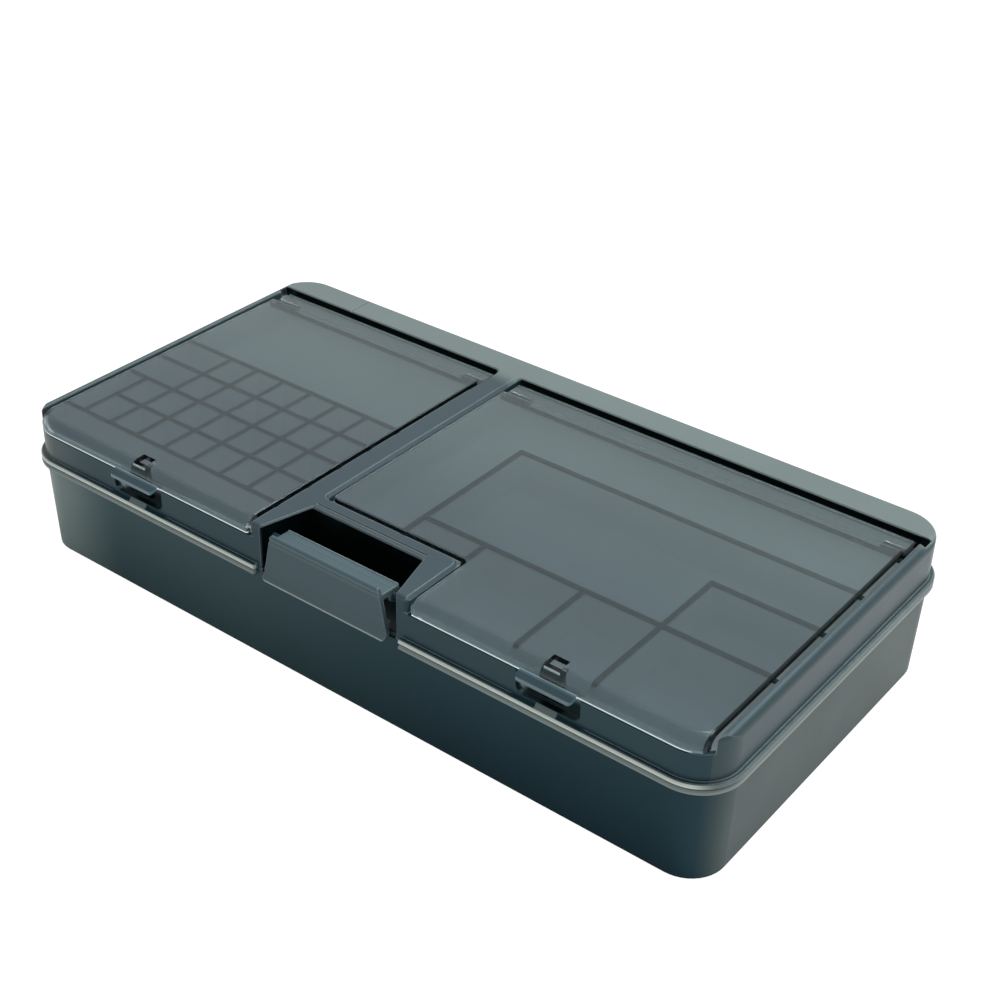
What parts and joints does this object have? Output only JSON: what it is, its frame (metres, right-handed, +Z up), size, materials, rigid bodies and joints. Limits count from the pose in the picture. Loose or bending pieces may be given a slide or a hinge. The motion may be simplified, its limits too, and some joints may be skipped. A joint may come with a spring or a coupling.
{
  "type": "compartment organizer box",
  "caption": "Layered see-through organizer box: a deep bin under a hinged compartment tray with flip lids and a front rocker clasp in a finger recess.",
  "frame": {"origin": "middle of the bin's flat underside, on the surface it stands on", "axes": "+X along the length towards the right, -Y out of the front with the clasp, +Z up"},
  "size_m": [0.2632, 0.1401, 0.05],
  "materials": {
    "smoke_bin": "smoke-tinted see-through plastic, satin",
    "smoke_tray": "smoke-tinted see-through plastic, polished edges",
    "frosted_lid": "smoke-tinted plastic, fine frosted texture",
    "smoke_clasp": "smoke-tinted plastic, satin",
    "divider": "smoke-tinted plastic, satin",
    "steel_pin": "drawn steel wire",
    "plastic_pin": "dark plastic"
  },
  "bodies": {
    "base": {"base_bin": "smoke_bin", "left_hinge_pin": "steel_pin", "right_hinge_pin": "steel_pin"},
    "tray": {"upper_tray": "smoke_tray", "row_divider_1": "divider", "row_divider_2": "divider", "row_divider_3": "divider", "row_divider_4": "divider", "row_divider_5": "divider", "cross_divider_1": "divider", "cross_divider_2": "divider", "cross_divider_3": "divider", "cross_divider_4": "divider", "cross_divider_5": "divider", "cross_divider_6": "divider", "cross_divider_7": "divider", "corner_divider": "divider", "long_divider": "divider", "short_divider": "divider", "front_divider": "divider", "angle_divider": "divider", "left_lid_pin": "plastic_pin", "centre_lid_pin": "plastic_pin", "right_lid_pin": "plastic_pin", "latch_pin": "plastic_pin"},
    "left_lid": {"left_lid": "frosted_lid"},
    "right_lid": {"right_lid": "frosted_lid"},
    "latch": {"front_latch": "smoke_clasp"}
  },
  "joints": [
    {"name": "tray_hinge", "type": "hinge", "parent": "base", "child": "tray", "pos_m": [0, 0.0695, 0.0342], "axis": [-1, 0, 0], "range_deg": [0, 95]},
    {"name": "left_lid_hinge", "type": "hinge", "parent": "tray", "child": "left_lid", "pos_m": [-0.0783, 0.0472, 0.0456], "axis": [-1, 0, 0], "range_deg": [0, 110]},
    {"name": "right_lid_hinge", "type": "hinge", "parent": "tray", "child": "right_lid", "pos_m": [0.0524, 0.0472, 0.0456], "axis": [-1, 0, 0], "range_deg": [0, 110]},
    {"name": "latch_pivot", "type": "hinge", "parent": "tray", "child": "latch", "pos_m": [0, -0.0605, 0.045], "axis": [-1, 0, 0], "range_deg": [0, 80]}
  ]
}
